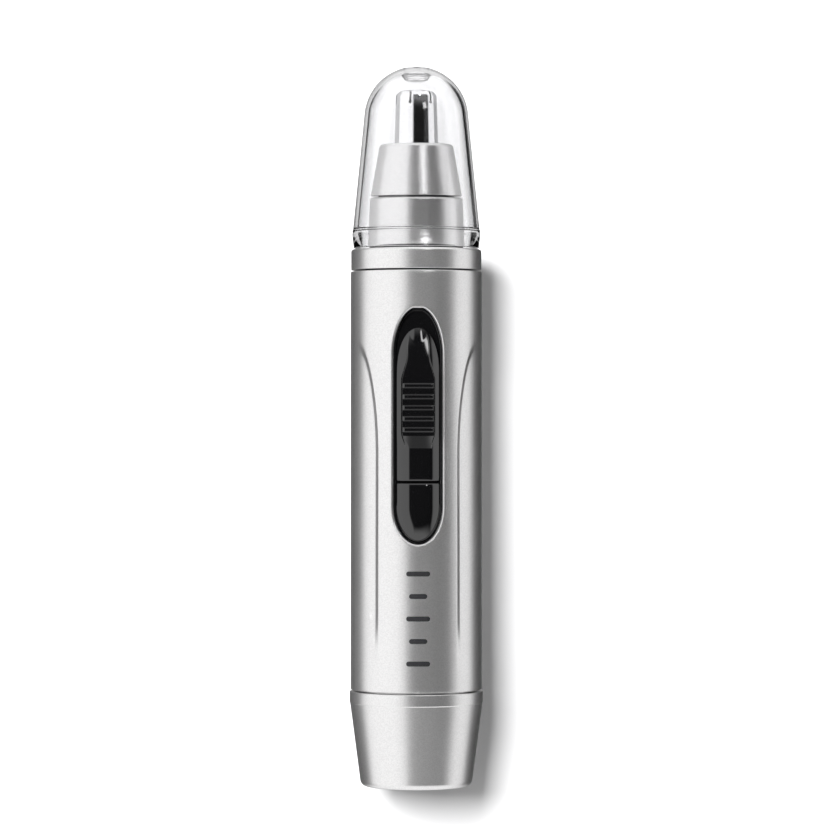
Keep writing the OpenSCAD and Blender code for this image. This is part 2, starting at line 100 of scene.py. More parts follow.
camera = bpy.data.objects.new("camera", bpy.data.cameras.new("camera"))
bpy.context.scene.collection.objects.link(camera)
camera.data.sensor_fit = "AUTO"
camera.data.angle = 2 * math.atan(VIEW_WIDTH / 2 / VIEW_DISTANCE)
right = (math.cos(VIEW_TURN), math.sin(VIEW_TURN))
camera.location = (
    VIEW_DISTANCE * math.sin(VIEW_TURN) + VIEW_STEP * right[0],
    -VIEW_DISTANCE * math.cos(VIEW_TURN) + VIEW_STEP * right[1],
    VIEW_HEIGHT,
)
camera.rotation_euler = (math.pi / 2, 0, VIEW_TURN)
bpy.context.scene.camera = camera
bpy.context.scene.view_settings.view_transform = "Standard"
print("lens", round(camera.data.lens, 1), "mm")

# %% [markdown]
# ## Node helpers
# Materials here are built from nodes. Three small helpers keep that readable: one adds a node with its
# settings, one adds a Math node, and one opens a new material at its Principled BSDF.

# %% Define node helpers


def add(tree, kind, settings=None, **inputs):
    """A new node; settings are its own properties, and inputs are sockets by name or by number."""
    node = tree.nodes.new(kind)
    for name, value in (settings or {}).items():
        setattr(node, name, value)
    for name, value in inputs.items():
        key = int(name[1:]) if name[0] == "_" else name.replace("_", " ")
        if isinstance(value, bpy.types.NodeSocket):
            tree.links.new(value, node.inputs[key])
        else:
            node.inputs[key].default_value = value
    return node


def maths(tree, operation, a, b=0.0):
    """The result of one Math node."""
    return add(tree, "ShaderNodeMath", {"operation": operation}, _0=a, _1=b).outputs[0]


def between(tree, value, low, high, start=0.0, end=1.0):
    """value eased from start to end as it goes from low to high."""
    settings = {"interpolation_type": "SMOOTHSTEP"}
    node = add(tree, "ShaderNodeMapRange", settings, Value=value, From_Min=low, From_Max=high)
    node.inputs["To Min"].default_value = start
    node.inputs["To Max"].default_value = end
    return node.outputs[0]


def new_material(name, **inputs):
    """A material with its tree and its Principled BSDF, whose sockets are set by name."""
    material = bpy.data.materials.new(name)
    material.use_nodes = True
    tree = material.node_tree
    shader = tree.nodes["Principled BSDF"]
    for key, value in inputs.items():
        shader.inputs[key.replace("_", " ")].default_value = value
    return material, tree, shader


# %% [markdown]
# ## Studio
# Polished and lacquered metal shows its surroundings more than its own colour, so the studio is built
# for its reflections: a wide soft panel on the left, a narrower one on the right, bright ends above and
# below, and a dark gap behind the camera that draws the dark band down the body. One small bright lamp
# above and in front reaches only faces that tilt upwards: the cone and the grip. Area lights could do
# this, but panels painted on the sky have no edges to sample and stay quiet through the clear cap.
# Looked at directly the sky is the plain white of the backdrop. Three more rules are for the clear cap,
# and none of them is physical: light that came along its wall or heads down is white too, light that
# came through it is made brighter to offset its tint, and what is under it gets a glow from the sides.

# %% Build the studio sky
LEFT_PANEL = (-108, -19, 6, 1.0)          # from, to, softness in degrees of azimuth, and brightness
RIGHT_PANEL = (68, 112, 6, 0.95)
REAR_PANEL = (168, 192, 10, 0.3)
LAMP = (15, 23, 2, 6.0)                   # a small bright lamp above and in front, for tight glints
LAMP_LOW, LAMP_HIGH = 19, 33              # its height in degrees
ENDS_FROM = 24                            # height in degrees where the bright ends start
ENDS_FULL = 48
ENDS_BRIGHT = 1.0
ROOM_BRIGHT = 0.01
LOWER_END = 4                             # the lower bright end reaches this much higher
WALL_LEFT, WALL_RIGHT = 147, 155          # azimuth where light guided by the clear wall turns bright
CAP_GAIN = 1.97                           # makes up for the tint of the clear cap
CAP_GLOW_LEFT, CAP_GLOW_RIGHT = 1.0, 0.75    # least brightness of the sides for parts under the cap


def panel(tree, azimuth, low, high, soft, bright):
    rise = between(tree, azimuth, low - soft, low + soft)
    fall = between(tree, azimuth, high - soft, high + soft)
    return maths(tree, "MULTIPLY", maths(tree, "SUBTRACT", rise, fall), bright)


world = bpy.data.worlds.new("studio")
bpy.context.scene.world = world
world.use_nodes = True
world.cycles.sampling_method = "NONE"
sky = world.node_tree
way = add(sky, "ShaderNodeSeparateXYZ", Vector=add(sky, "ShaderNodeTexCoord").outputs["Generated"])
across = maths(sky, "ARCTAN2", way.outputs["X"], maths(sky, "MULTIPLY", way.outputs["Y"], -1.0))
across = maths(sky, "DEGREES", across)
up = maths(sky, "DEGREES", maths(sky, "ARCSINE", way.outputs["Z"]))
off_level = maths(sky, "MAXIMUM", up, maths(sky, "SUBTRACT", LOWER_END, up))
behind = maths(sky, "ABSOLUTE", across)
bright = maths(sky, "ADD", panel(sky, across, *LEFT_PANEL), panel(sky, across, *RIGHT_PANEL))
bright = maths(sky, "ADD", bright, panel(sky, behind, *REAR_PANEL))
bright = maths(sky, "MAXIMUM", bright, between(sky, off_level, ENDS_FROM, ENDS_FULL, 0.0, ENDS_BRIGHT))
lamp_rows = panel(sky, up, LAMP_LOW, LAMP_HIGH, 2, 1.0)
bright = maths(sky, "ADD", bright, maths(sky, "MULTIPLY", panel(sky, across, *LAMP), lamp_rows))
bright = maths(sky, "ADD", bright, ROOM_BRIGHT)
path = add(sky, "ShaderNodeLightPath").outputs
through = maths(sky, "GREATER_THAN", path["Transmission Depth"], 0.5)
bright = maths(sky, "MULTIPLY", bright, maths(sky, "ADD", maths(sky, "MULTIPLY", through, CAP_GAIN - 1), 1.0))
glow = maths(sky, "ADD", between(sky, across, -115, -95, CAP_GLOW_LEFT, 0.0),
             between(sky, across, 95, 115, 0.0, CAP_GLOW_RIGHT))
inside_cap = maths(sky, "GREATER_THAN", path["Transmission Depth"], 2.5)
bright = maths(sky, "MAXIMUM", bright, maths(sky, "MULTIPLY", glow, inside_cap))
guided = maths(sky, "MULTIPLY", through, maths(sky, "LESS_THAN", path["Transmission Depth"], 2.5))
rear_left = between(sky, across, -WALL_LEFT - 3, -WALL_LEFT + 3, 1.0, 0.0)
rear_right = between(sky, across, WALL_RIGHT - 3, WALL_RIGHT + 3)
downward = between(sky, up, -9, -4, 1.0, 0.0)
rear = maths(sky, "MAXIMUM", rear_left, rear_right)
guided = maths(sky, "MULTIPLY", guided, maths(sky, "MAXIMUM", rear, downward))
bounces = maths(sky, "ADD", path["Diffuse Depth"], path["Glossy Depth"])
seen = maths(sky, "MAXIMUM", maths(sky, "LESS_THAN", bounces, 0.5), guided)
backdrop = add(sky, "ShaderNodeMix", {"data_type": "FLOAT"}, Factor=seen, _2=bright, _3=1.0)
background = sky.nodes["Background"]
sky.links.new(backdrop.outputs[0], background.inputs["Color"])
print("sky panels", LEFT_PANEL, RIGHT_PANEL)

# %% [markdown]
# ## Floor and key light
# The trimmer rests its back on a pale sheet, close enough to catch its shadow. The sheet shows only to
# the camera and only from its front, so that it neither hides the back of the trimmer in other views
# nor lights it from behind. One soft lamp from the upper left casts the shadow, and shows in no gloss.

# %% Lay the floor and hang the key light
FLOOR_SIZE = 3.0
KEY_LEFT, KEY_UP, KEY_AWAY, KEY_SIZE, KEY_POWER = 0.345, 0.25, 0.9, 0.42, 29.5

floor_y = band_r * MM + 0.0004
mesh = bpy.data.meshes.new("floor")
half = FLOOR_SIZE / 2
corners = [(-half, floor_y, -half), (half, floor_y, -half), (half, floor_y, half), (-half, floor_y, half)]
mesh.from_pydata(corners, [], [(0, 1, 2, 3)])
floor = bpy.data.objects.new("floor", mesh)
bpy.context.scene.collection.objects.link(floor)

paper, tree, shader = new_material("pale paper", Roughness=0.9)
shader.inputs["Base Color"].default_value = (0.5, 0.5, 0.503, 1)
fibre = add(tree, "ShaderNodeTexNoise", Scale=900.0, Detail=4.0)
bump = add(tree, "ShaderNodeBump", Strength=0.05, Distance=0.0001, Height=fibre.outputs[0])
tree.links.new(bump.outputs[0], shader.inputs["Normal"])
path = add(tree, "ShaderNodeLightPath").outputs
bounces = maths(tree, "ADD", path["Diffuse Depth"], path["Glossy Depth"])
shown = maths(tree, "LESS_THAN", maths(tree, "ADD", bounces, path["Is Shadow Ray"]), 0.5)
front = maths(tree, "SUBTRACT", 1.0, add(tree, "ShaderNodeNewGeometry").outputs["Backfacing"])
clear = add(tree, "ShaderNodeBsdfTransparent").outputs[0]
both = add(tree, "ShaderNodeMixShader", _0=maths(tree, "MULTIPLY", shown, front), _1=clear,
           _2=shader.outputs[0])
tree.links.new(both.outputs[0], tree.nodes["Material Output"].inputs["Surface"])
mesh.materials.append(paper)

middle = (cad_low + cad_high) / 2
lamp = bpy.data.lights.new("key", "AREA")
lamp.size, lamp.energy = KEY_SIZE, KEY_POWER
key = bpy.data.objects.new("key", lamp)
bpy.context.scene.collection.objects.link(key)
key.location = (middle.x - KEY_LEFT, middle.y - KEY_AWAY, middle.z + KEY_UP)
key.rotation_euler = (middle - key.location).to_track_quat("-Z", "Y").to_euler()
key.visible_camera = False
key.visible_glossy = False
key.visible_transmission = False
print("key light at", [round(c, 3) for c in key.location])

# %% [markdown]
# ## Shared effects
# Several finishes need the same small effects, so each effect is a node group with named sockets:
# metal flake for the lacquer, handling marks that change gloss, fine grain for moulded parts, and wear
# along edges. A group gives values only, and every material turns them into colour, gloss or bump.

# %% Build the effect groups


def new_group(name, takes, gives):
    group = bpy.data.node_groups.new(name, "ShaderNodeTree")
    for name, value in takes.items():
        socket = group.interface.new_socket(name, in_out="INPUT", socket_type="NodeSocketFloat")
        socket.default_value = value
    for name in gives:
        group.interface.new_socket(name, in_out="OUTPUT", socket_type="NodeSocketFloat")
    return group, group.nodes.new("NodeGroupInput").outputs, group.nodes.new("NodeGroupOutput").inputs


flake, took, gave = new_group("Metal flake", {"Scale": 7000.0, "Spread": 0.1}, ["Tint", "Height"])
place = add(flake, "ShaderNodeTexCoord").outputs["Object"]
cells = add(flake, "ShaderNodeTexVoronoi", Vector=place, Scale=took["Scale"])
parts = add(flake, "ShaderNodeSeparateColor", Color=cells.outputs["Color"]).outputs
tint = maths(flake, "MULTIPLY", maths(flake, "SUBTRACT", parts[0], 0.5), took["Spread"])
flake.links.new(maths(flake, "ADD", tint, 1.0), gave["Tint"])
flake.links.new(parts[1], gave["Height"])

marks, took, gave = new_group("Handling marks", {"Scale": 90.0, "Gloss": 0.3, "Change": 0.04}, ["Roughness"])
place = add(marks, "ShaderNodeTexCoord").outputs["Object"]
patches = add(marks, "ShaderNodeTexNoise", Vector=place, Scale=took["Scale"], Detail=5.0)
change = maths(marks, "MULTIPLY", maths(marks, "SUBTRACT", patches.outputs[0], 0.5), took["Change"])
marks.links.new(maths(marks, "ADD", took["Gloss"], change), gave["Roughness"])

grain, took, gave = new_group("Fine grain", {"Scale": 2500.0}, ["Height"])
place = add(grain, "ShaderNodeTexCoord").outputs["Object"]
spots = add(grain, "ShaderNodeTexNoise", Vector=place, Scale=took["Scale"], Detail=6.0, Roughness=0.6)
grain.links.new(spots.outputs[0], gave["Height"])

wear, took, gave = new_group("Edge wear", {"Scale": 600.0, "Amount": 0.3}, ["Mask"])
place = add(wear, "ShaderNodeTexCoord").outputs["Object"]
breaks = add(wear, "ShaderNodeTexNoise", Vector=place, Scale=took["Scale"], Detail=6.0)
edges = between(wear, add(wear, "ShaderNodeNewGeometry").outputs["Pointiness"], 0.53, 0.62)
broken = between(wear, breaks.outputs[0], 0.45, 0.65)
mask = maths(wear, "MULTIPLY", maths(wear, "MULTIPLY", edges, broken), took["Amount"])
wear.links.new(mask, gave["Mask"])


def effect(tree, group, **values):
    """The outputs of one of the groups, placed in a material with its own values."""
    return add(tree, "ShaderNodeGroup", {"node_tree": group}, **values).outputs


def set_bump(tree, shader, height, distance, strength=1.0):
    node = add(tree, "ShaderNodeBump", Strength=strength, Distance=distance, Height=height)
    tree.links.new(node.outputs[0], shader.inputs["Normal"])


print("effect groups", [g.name for g in bpy.data.node_groups])

# %% [markdown]
# ## Finishes
# The silver parts are plastic under a satin lacquer full of fine aluminium flake, so the finish is a
# metal of middling gloss whose tint and tilt change from flake to flake. The guard tube is mirror
# chrome. The switch is piano black plastic, and the cap is clear plastic with a faint haze.

# %% Mix the outer finishes


def tinted(tree, colour, factor):
    """A colour multiplied by a value that changes over the surface."""
    settings = {"operation": "SCALE"}
    return add(tree, "ShaderNodeVectorMath", settings, _0=colour, Scale=factor).outputs[0]


silver, tree, shader = new_material("satin silver lacquer", Metallic=0.94, IOR=1.5)
flakes = effect(tree, flake, Scale=6500.0, Spread=0.14)
worn = effect(tree, wear, Scale=700.0, Amount=0.25)["Mask"]
lacquer = tinted(tree, (0.78, 0.775, 0.775), maths(tree, "ADD", flakes["Tint"], worn))
tree.links.new(lacquer, shader.inputs["Base Color"])
gloss = effect(tree, marks, Scale=120.0, Gloss=0.32, Change=0.06)["Roughness"]
tree.links.new(gloss, shader.inputs["Roughness"])
set_bump(tree, shader, flakes["Height"], 0.000005, 0.4)

chrome, tree, shader = new_material("mirror chrome", Metallic=1.0)
gloss = effect(tree, marks, Scale=500.0, Gloss=0.05, Change=0.04)["Roughness"]
tree.links.new(gloss, shader.inputs["Roughness"])
place = add(tree, "ShaderNodeTexCoord").outputs["Object"]
lines = add(tree, "ShaderNodeMapping", {}, Vector=place, Scale=(1.0, 1.0, 30.0))
polish = add(tree, "ShaderNodeTexNoise", Vector=lines.outputs[0], Scale=300.0, Detail=3.0)
tone = between(tree, polish.outputs[0], 0.3, 0.7, 0.97, 1.03)
tree.links.new(tinted(tree, (0.9, 0.9, 0.91), tone), shader.inputs["Base Color"])
set_bump(tree, shader, polish.outputs[0], 0.000002, 0.2)

black, tree, shader = new_material("piano black", IOR=1.8)
gloss = effect(tree, marks, Scale=160.0, Gloss=0.07, Change=0.08)["Roughness"]
tree.links.new(gloss, shader.inputs["Roughness"])
worn = effect(tree, wear, Scale=900.0, Amount=0.6)["Mask"]
tone = maths(tree, "ADD", worn, 1.0)
tree.links.new(tinted(tree, (0.0018, 0.0018, 0.002), tone), shader.inputs["Base Color"])
set_bump(tree, shader, effect(tree, grain, Scale=260.0)["Height"], 0.00001, 0.25)

clear_plastic, tree, shader = new_material("clear plastic", IOR=1.49)
shader.inputs["Transmission Weight"].default_value = 1.0
shader.inputs["Base Color"].default_value = (0.76, 0.76, 0.765, 1)
gloss = effect(tree, marks, Scale=200.0, Gloss=0.012, Change=0.014)["Roughness"]
tree.links.new(gloss, shader.inputs["Roughness"])
set_bump(tree, shader, effect(tree, grain, Scale=70.0)["Height"], 0.00004, 0.12)

# %% [markdown]
# ## Inner finishes
# The parts inside show when the head lifts or the cell drops out. Each is a short recipe: a colour with
# slight variation, a gloss and a grain at the size of the real surface. A loop makes them, because they
# differ only in those values.

# %% Mix the inner finishes
PLAIN_FINISHES = {
    # name: colour, metallic, gloss, grain per metre, grain height in metres
    "moulded black": ((0.022, 0.022, 0.024), 0.0, 0.45, 3500.0, 0.000010),
    "natural acetal": ((0.78, 0.76, 0.7), 0.0, 0.38, 2500.0, 0.000006),
    "black rubber": ((0.014, 0.014, 0.014), 0.0, 0.7, 5000.0, 0.000012),
    "ground steel": ((0.62, 0.62, 0.63), 1.0, 0.25, 6000.0, 0.000003),
    "spring wire": ((0.5, 0.5, 0.51), 1.0, 0.3, 4000.0, 0.000004),
    "stamped brass": ((0.78, 0.56, 0.25), 1.0, 0.28, 3000.0, 0.000004),
    "nickel plate": ((0.66, 0.64, 0.6), 1.0, 0.24, 2500.0, 0.000003),
    "zinc plate": ((0.58, 0.59, 0.6), 1.0, 0.36, 2200.0, 0.000005),
    "ferrite": ((0.05, 0.05, 0.052), 0.2, 0.6, 5000.0, 0.000012),
    "enamelled copper": ((0.62, 0.26, 0.12), 0.9, 0.3, 4500.0, 0.000010),
}
finishes = {}
for name, (colour, metallic, base_gloss, grains, height) in PLAIN_FINISHES.items():
    material, tree, shader = new_material(name, Metallic=metallic)
    specks = effect(tree, grain, Scale=grains)["Height"]
    worn = effect(tree, wear, Scale=800.0, Amount=0.2)["Mask"]
    tone = maths(tree, "ADD", between(tree, specks, 0.3, 0.7, 0.92, 1.08), worn)
    tree.links.new(tinted(tree, colour, tone), shader.inputs["Base Color"])
    gloss = effect(tree, marks, Scale=300.0, Gloss=base_gloss, Change=0.12)["Roughness"]
    tree.links.new(gloss, shader.inputs["Roughness"])
    set_bump(tree, shader, specks, height)
    finishes[name] = material

print("inner finishes", len(finishes))

# %% [markdown]
# ## Dress the CAD nodes
# Small inner parts keep their CAD shape, which is already right, and only get their finish. A table of
# finish to nodes is enough for that.

# %% Give CAD nodes their finish
WEARS = {
    "moulded black": ["chassis", "neck_plate", "motor_end_cap"],
    "natural acetal": ["head_bush", "blade_holder", "drive_coupler"],
    "black rubber": ["head_seal", "battery_seal"],
    "ground steel": ["inner_blade", "motor_shaft"],
    "spring wire": ["retaining_clip"],
    "stamped brass": ["switch_bridge", "switch_strip", "motor_bearing", "motor_terminals"],
    "nickel plate": ["negative_strip", "positive_contact", "cap_contact_plate"],
    "zinc plate": ["motor_screws", "motor_can", "rotor_core"],
    "ferrite": ["motor_magnets"],
    "enamelled copper": ["rotor_windings", "commutator"],
}
for finish, names in WEARS.items():
    for name in names:
        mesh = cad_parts[name].data
        mesh.materials.clear()
        mesh.materials.append(finishes[finish])
print("dressed", sum(len(names) for names in WEARS.values()), "CAD nodes")

# %% [markdown]
# ## Mesh helpers
# Most of the trimmer is turned, so one helper rounds the corners of an outline and another spins it
# round Z. Real moulded edges are never sharp: each corner of an outline carries its own fillet radius,
# which is what catches the thin highlights along every seam. Lacquer is sprayed on the outside only, so
# faces nearer the axis are left as bare black plastic. That black is also painted shade: it is put there
# so that the seams between parts and the window's walls look dark.

# %% Define mesh helpers


def rounded(corners, closed, steps=5):
    """Points of an outline whose corners are (x, y) or (x, y, fillet radius)."""
    points = []
    count = len(corners)
    for i, corner in enumerate(corners):
        x, y = corner[:2]
        radius = corner[2] if len(corner) > 2 else 0
        if not radius or (not closed and i in (0, count - 1)):
            points.append((x, y))
            continue
        ax, ay = corners[i - 1][0] - x, corners[i - 1][1] - y
        bx, by = corners[(i + 1) % count][0] - x, corners[(i + 1) % count][1] - y
        a_len, b_len = math.hypot(ax, ay), math.hypot(bx, by)
        ax, ay, bx, by = ax / a_len, ay / a_len, bx / b_len, by / b_len
        half_angle = math.acos(max(-1, min(1, ax * bx + ay * by))) / 2
        reach = min(radius / math.tan(half_angle), 0.49 * a_len, 0.49 * b_len)
        radius = reach * math.tan(half_angle)
        middle_len = math.hypot(ax + bx, ay + by)
        cx = x + (ax + bx) / middle_len * radius / math.sin(half_angle)
        cy = y + (ay + by) / middle_len * radius / math.sin(half_angle)
        start = math.atan2(y + ay * reach - cy, x + ax * reach - cx)
        end = math.atan2(y + by * reach - cy, x + bx * reach - cx)
        turn = (end - start + math.pi) % (2 * math.pi) - math.pi
        for k in range(steps + 1):
            angle = start + turn * k / steps
            points.append((cx + radius * math.cos(angle), cy + radius * math.sin(angle)))
    return points


def make_piece(name, points, faces, material, body, nodes=(), sharp=40.0):
    """A smooth-shaded mesh piece, from points in millimetres, riding on its body."""
    mesh = bpy.data.meshes.new(name)
    mesh.from_pydata([(x * MM, y * MM, z * MM) for x, y, z in points], [], faces)
    work = bmesh.new()
    work.from_mesh(mesh)
    bmesh.ops.remove_doubles(work, verts=work.verts, dist=1e-7)
    bmesh.ops.dissolve_degenerate(work, dist=1e-8, edges=work.edges)
    bmesh.ops.recalc_face_normals(work, faces=work.faces)
    if work.calc_volume(signed=True) < 0:
        bmesh.ops.reverse_faces(work, faces=work.faces)
    work.to_mesh(mesh)
    work.free()
    mesh.shade_smooth()
    mesh.set_sharp_from_angle(angle=math.radians(sharp))
    piece = bpy.data.objects.new(name, mesh)
    bpy.context.scene.collection.objects.link(piece)
    mesh.materials.append(material)
    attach(piece, body)
    if nodes:
        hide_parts(*nodes)
    print(name, len(mesh.polygons), "faces")
    return piece


def bare_plastic_shade(piece, radius):
    """Give faces nearer the Z axis than radius the unlacquered black plastic, also as painted shade."""
    piece.data.materials.append(finishes["moulded black"])
    for face in piece.data.polygons:
        if math.hypot(face.center.x, face.center.y) < radius * MM:
            face.material_index = 1


def spin(outline, closed, segments=160, start=0):
    """Points and faces of an outline in (radius, height) turned round Z."""
    points, faces, rings = [], [], []
    for radius, height in outline:
        first = start + len(points)
        if radius < 1e-6:
            points.append((0, 0, height))
            rings.append([first] * segments)
            continue
        for k in range(segments):
            angle = 2 * math.pi * k / segments
            points.append((radius * math.sin(angle), -radius * math.cos(angle), height))
        rings.append([first + k for k in range(segments)])
    pairs = list(zip(rings, rings[1:])) + ([(rings[-1], rings[0])] if closed else [])
    for low, high in pairs:
        for k in range(segments):
            after = (k + 1) % segments
            loop = [low[k], low[after], high[after], high[k]]
            face = [v for n, v in enumerate(loop) if v not in loop[:n]]
            if len(face) > 2:
                faces.append(face)
    return points, faces


def turned(name, corners, material, body, nodes, closed=True, segments=160, steps=5, bare_shade_r=0):
    """A turned piece; the lacquer stops at the radius given last, and the black within is painted shade."""
    points, faces = spin(rounded(corners, closed, steps), closed, segments)
    piece = make_piece(name, points, faces, material, body, nodes)
    if bare_shade_r:
        bare_plastic_shade(piece, bare_shade_r)
    even = piece.modifiers.new("even shading", "WEIGHTED_NORMAL")
    even.keep_sharp = True
    return piece


# %% [markdown]
# ## Clear cap
# The cap is one thin moulding: a dome with a dimple on top, straight tapering walls, and a raised band
# at the rim that grips the head. It could be a shell with a Solidify modifier, but the wall changes
# thickness at the band and the dimple, so the whole section is drawn as one outline and turned. Its
# shadow is switched off, because clear plastic lets the key light through.

# %% Turn the clear cap
DOME_R = 10.1
CAP_WALL = 1.0
FLAT_TOP_R = 2.0
DIMPLE_R = 2.1
DIMPLE_DEPTH = 1.6
BAND_IN = 10.7                            # inside radius of the band at the rim
BAND_SIDE, BAND_EDGE, BAND_END = 2.6, 3.35, 3.55     # heights above the rim where the band changes

dome_z = cap_top_z - math.sqrt(DOME_R**2 - FLAT_TOP_R**2)
dimple_z = cap_top_z - DIMPLE_DEPTH
dome_in = DOME_R - CAP_WALL


def dome(radius, start, end, steps):
    """Points of the dome's arc between two angles above the horizon."""
    turns = [math.radians(start + (end - start) * i / steps) for i in range(steps + 1)]
    return [(radius * math.cos(t), dome_z + radius * math.sin(t)) for t in turns]


section = [(BAND_IN, rim_z, 0.1), (cap_r - 0.3, rim_z, 0.12), (cap_r, rim_z + BAND_SIDE, 0.7),
           (cap_r - 0.07, rim_z + 3.15, 0.12), (cap_r, rim_z + BAND_EDGE, 0.12),
           (cap_r - 0.15, rim_z + BAND_END, 0.1)]
section += dome(DOME_R, 3, 76, 26)
section += [(DIMPLE_R, cap_top_z, 0.2), (DIMPLE_R - 0.25, dimple_z, 0.9), (0, dimple_z),
            (0, dimple_z - CAP_WALL), (DIMPLE_R, dimple_z - CAP_WALL, 0.7)]
section += dome(dome_in, 71, 3, 24)
section += [(cap_r - 1.17, rim_z + 3.65, 0.25), (BAND_IN, rim_z + 3.45, 0.2)]
points, faces = spin(rounded(section, True, 6), True, 224)
cap = make_piece("protective_cap_shell", points, faces, clear_plastic, "clear_cap",
                 ["protective_cap"])
cap.visible_shadow = False
print("dome centre at", round(dome_z, 2))

# %% [markdown]
# ## Head
# The cutter head is a base that flares out at its foot, a cone with a softly rounded shoulder, and the
# chromed tube that goes into the nostril. Base and cone meet at a narrow gap. Their inside and the
# cone's foot are bare black plastic, put there as painted shade that keeps that gap dark.

# %% Turn the head base and the head cone
SEAM_FILLET = 0.16
SPIGOT_R, SOCKET_R, SHAFT_R = 7.9, 6.6, 3.6          # below the base: outside, bore, and shaft hole
SKIRT_FOOT, SKIRT_WAIST, SKIRT_FLARE = 104.9, 107.4, 0.4
SHOULDER_R, SHOULDER, SEAM_GAP = 8.98, 0.55, 0.32    # top edge of the base, its fillet and the gap
COLLAR_R, COLLAR_IN, COLLAR_TOP = 7.4, 6.2, 117      # the collar that holds the cone
FLOOR_LOW, FLOOR_TOP = 109.2, 111.2
CONE_TOP_R, GUARD_HOLE, STEP_R, STEP_Z = 7.1, 4.3, 5.7, 121.25

seam_z = cone_z - SEAM_GAP
# painted shade: the base's inner faces and the floor of its seam take the black plastic
turned("head_base_skirt",
       [(SOCKET_R, skirt_low, 0.1), (SPIGOT_R, skirt_low, 0.2), (SPIGOT_R, SKIRT_FOOT),
        (skirt_r + SKIRT_FLARE, SKIRT_FOOT, 0.15), (skirt_r - 0.05, SKIRT_WAIST, 1.4),
        (SHOULDER_R, seam_z, SHOULDER), (COLLAR_R, seam_z), (COLLAR_R, COLLAR_TOP, 0.2),
        (COLLAR_IN, COLLAR_TOP, 0.2), (COLLAR_IN, FLOOR_TOP), (SHAFT_R, FLOOR_TOP), (SHAFT_R, FLOOR_LOW),
        (SOCKET_R, FLOOR_LOW)],
       silver, "head", ["head_base"], bare_shade_r=8.45)
cone_in = COLLAR_R + 0.05
cone = turned("head_cone_shell",
              [(cone_in, cone_z, 0.05), (cone_r + 0.12, cone_z, 0.1), (CONE_TOP_R, cone_top_z, 0.75),
               (GUARD_HOLE, cone_top_z, 0.12), (GUARD_HOLE, STEP_Z), (STEP_R, STEP_Z),
               (STEP_R, COLLAR_TOP + 0.15), (cone_in, COLLAR_TOP + 0.15)],
              silver, "head", ["head_cone"], bare_shade_r=4.0)
# painted shade: the cone's flat foot is black, so the seam under it stays dark
for face in cone.data.polygons:
    if face.center.z < (cone_z + 0.01) * MM:
        face.material_index = 1

# %% [markdown]
# ## Guard tube
# The guard is a drawn tube with a rounded closed end and six narrow slots that let hairs in. The slots
# run over the rounded edge and end in a small round hole. They are cut with one boolean, because that
# edge is too round to model each slot's rim face by face.

# %% Turn and slot the guard tube
GUARD_R, GUARD_TOP_R, GUARD_EDGE, GUARD_WALL = 4.23, 3.92, 1.25, 0.4
FLANGE_R, FLANGE_LOW, FLANGE_TOP = 5.6, 120.2, 121.2
SLOTS, SLOT_WIDTH, SLOT_LENGTH, FIRST_SLOT, HOLE_R = 6, 0.43, 2.3, -18, 0.36

guard = turned("guard_tube_shell",
               [(GUARD_R - GUARD_WALL, FLANGE_LOW), (FLANGE_R, FLANGE_LOW, 0.1),
                (FLANGE_R, FLANGE_TOP, 0.1), (GUARD_R, FLANGE_TOP),
                (GUARD_R, cone_top_z), (GUARD_TOP_R, guard_top_z, GUARD_EDGE), (0, guard_top_z),
                (0, guard_top_z - GUARD_WALL),
                (GUARD_TOP_R - GUARD_WALL, guard_top_z - GUARD_WALL, GUARD_EDGE - GUARD_WALL),
                (GUARD_R - GUARD_WALL, cone_top_z)],
               chrome, "head", ["guard_tube"], segments=192, steps=8)
cutter_points, cutter_faces = [], []
for i in range(SLOTS):
    turn = math.radians(FIRST_SLOT + 360 * i / SLOTS)
    around = [math.radians(128 + 284 * k / 14) for k in range(15)]
    rim = [(HOLE_R * math.cos(a), HOLE_R * math.sin(a) + guard_top_z - SLOT_LENGTH) for a in around]
    rim += [(SLOT_WIDTH / 2, guard_top_z + 1), (-SLOT_WIDTH / 2, guard_top_z + 1)]
    first = len(cutter_points)
    for reach in (1.35, 6.0):
        for u, z in rim:
            cutter_points.append((reach * math.sin(turn) + u * math.cos(turn),
                                  -reach * math.cos(turn) + u * math.sin(turn), z))
    n = len(rim)
    cutter_faces += [[first + k for k in range(n)], [first + n + k for k in reversed(range(n))]]
    for k in range(n):
        after = (k + 1) % n
        cutter_faces.append([first + k, first + after, first + n + after, first + n + k])
cutter_mesh = bpy.data.meshes.new("slot cutter")
cutter_mesh.from_pydata([(x * MM, y * MM, z * MM) for x, y, z in cutter_points], [], cutter_faces)
cutter = bpy.data.objects.new("slot cutter", cutter_mesh)
bpy.context.scene.collection.objects.link(cutter)
work = bmesh.new()
work.from_mesh(cutter_mesh)
bmesh.ops.recalc_face_normals(work, faces=work.faces)
work.to_mesh(cutter_mesh)
work.free()
cut = guard.modifiers.new("slots", "BOOLEAN")
cut.operation, cut.solver, cut.object = "DIFFERENCE", "EXACT", cutter
guard.modifiers.move(1, 0)
bpy.context.view_layer.update()
shaped = bpy.data.meshes.new_from_object(guard.evaluated_get(bpy.context.evaluated_depsgraph_get()))
guard.modifiers.clear()
guard.data = shaped
bpy.data.objects.remove(cutter)
print("slotted guard", len(shaped.polygons), "faces")

under_cap = ["head_base_skirt", "head_cone_shell", "guard_tube_shell", "head_seal", "head_bush",
             "inner_blade", "blade_holder", "retaining_clip", "drive_coupler", "neck_plate"]
for name in under_cap:                    # not physical: it keeps the floor beside the cap clean
    bpy.data.objects.get(name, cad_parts.get(name)).visible_shadow = False

# %% [markdown]
# ## Lock ring and battery cap
# Both are turned mouldings that meet the casing at a dark seam. The battery cap is hollow, with the
# sleeve that enters the casing and a groove for its O-ring, because all of it shows when it comes off.

